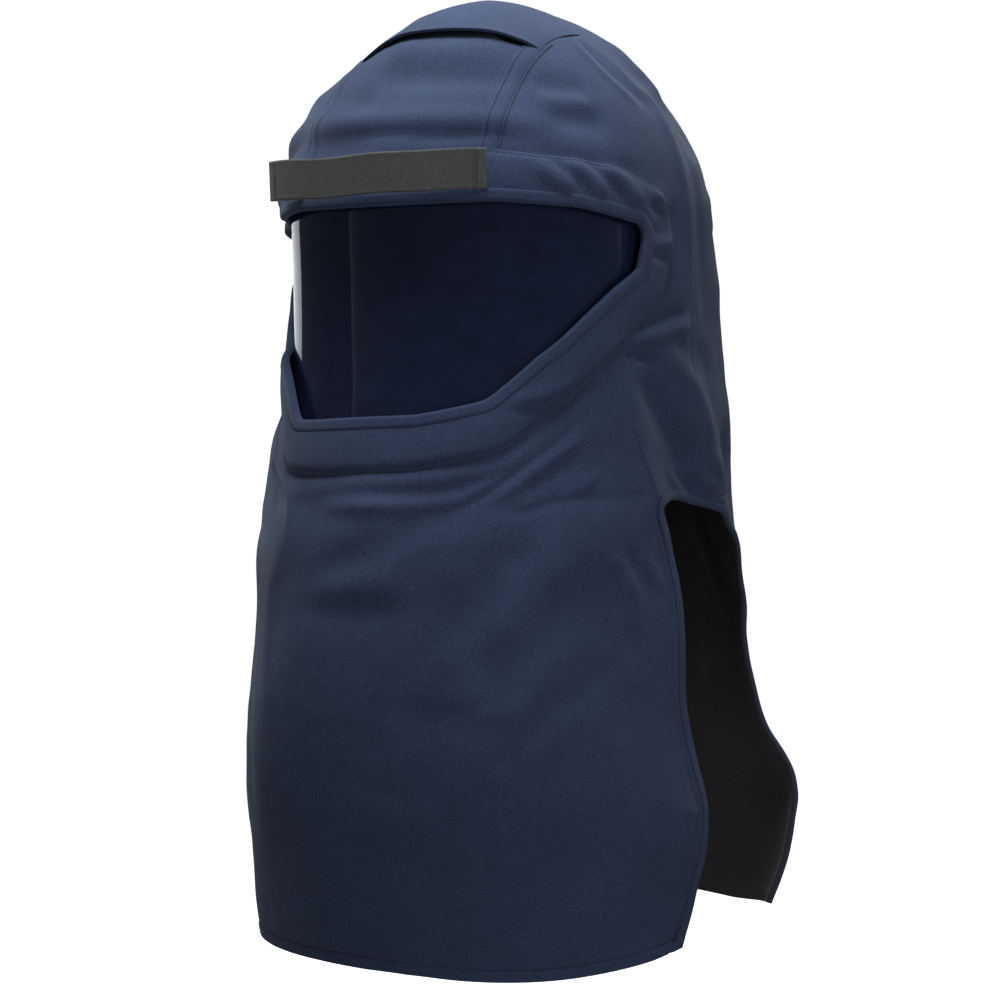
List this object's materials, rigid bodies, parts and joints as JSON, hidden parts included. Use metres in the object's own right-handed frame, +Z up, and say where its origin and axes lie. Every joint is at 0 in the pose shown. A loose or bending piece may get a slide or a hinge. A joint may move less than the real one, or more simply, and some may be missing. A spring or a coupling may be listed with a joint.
{
  "type": "arc flash hood",
  "caption": "Cloth safety hood with a domed crown, a clear visor under a webbing brow strap, a long front bib, a back drape and open arm sides.",
  "frame": {"origin": "the head seat, the inside of the highest point of the crown", "axes": "+Z up, the wearer faces -Y, and +X is the wearer's left"},
  "size_m": [0.4026, 0.4662, 0.7684],
  "materials": {
    "shell_cloth": "matte twill",
    "lining_cloth": "matte",
    "webbing": "woven, slight sheen",
    "mesh": "open knit",
    "visor_sheet": "gloss, tinted"
  },
  "bodies": {
    "root": {"crown_front_panel": "shell_cloth", "crown_back_panel": "shell_cloth", "side_panel_left": "shell_cloth", "side_panel_right": "shell_cloth", "front_bib": "shell_cloth", "back_drape": "shell_cloth", "drape_lining": "lining_cloth", "visor_surround": "shell_cloth", "visor_binding": "shell_cloth", "arm_binding_left": "shell_cloth", "arm_binding_right": "shell_cloth", "visor": "visor_sheet", "vent_mesh": "mesh", "brow_strap": "webbing"}
  },
  "joints": []
}
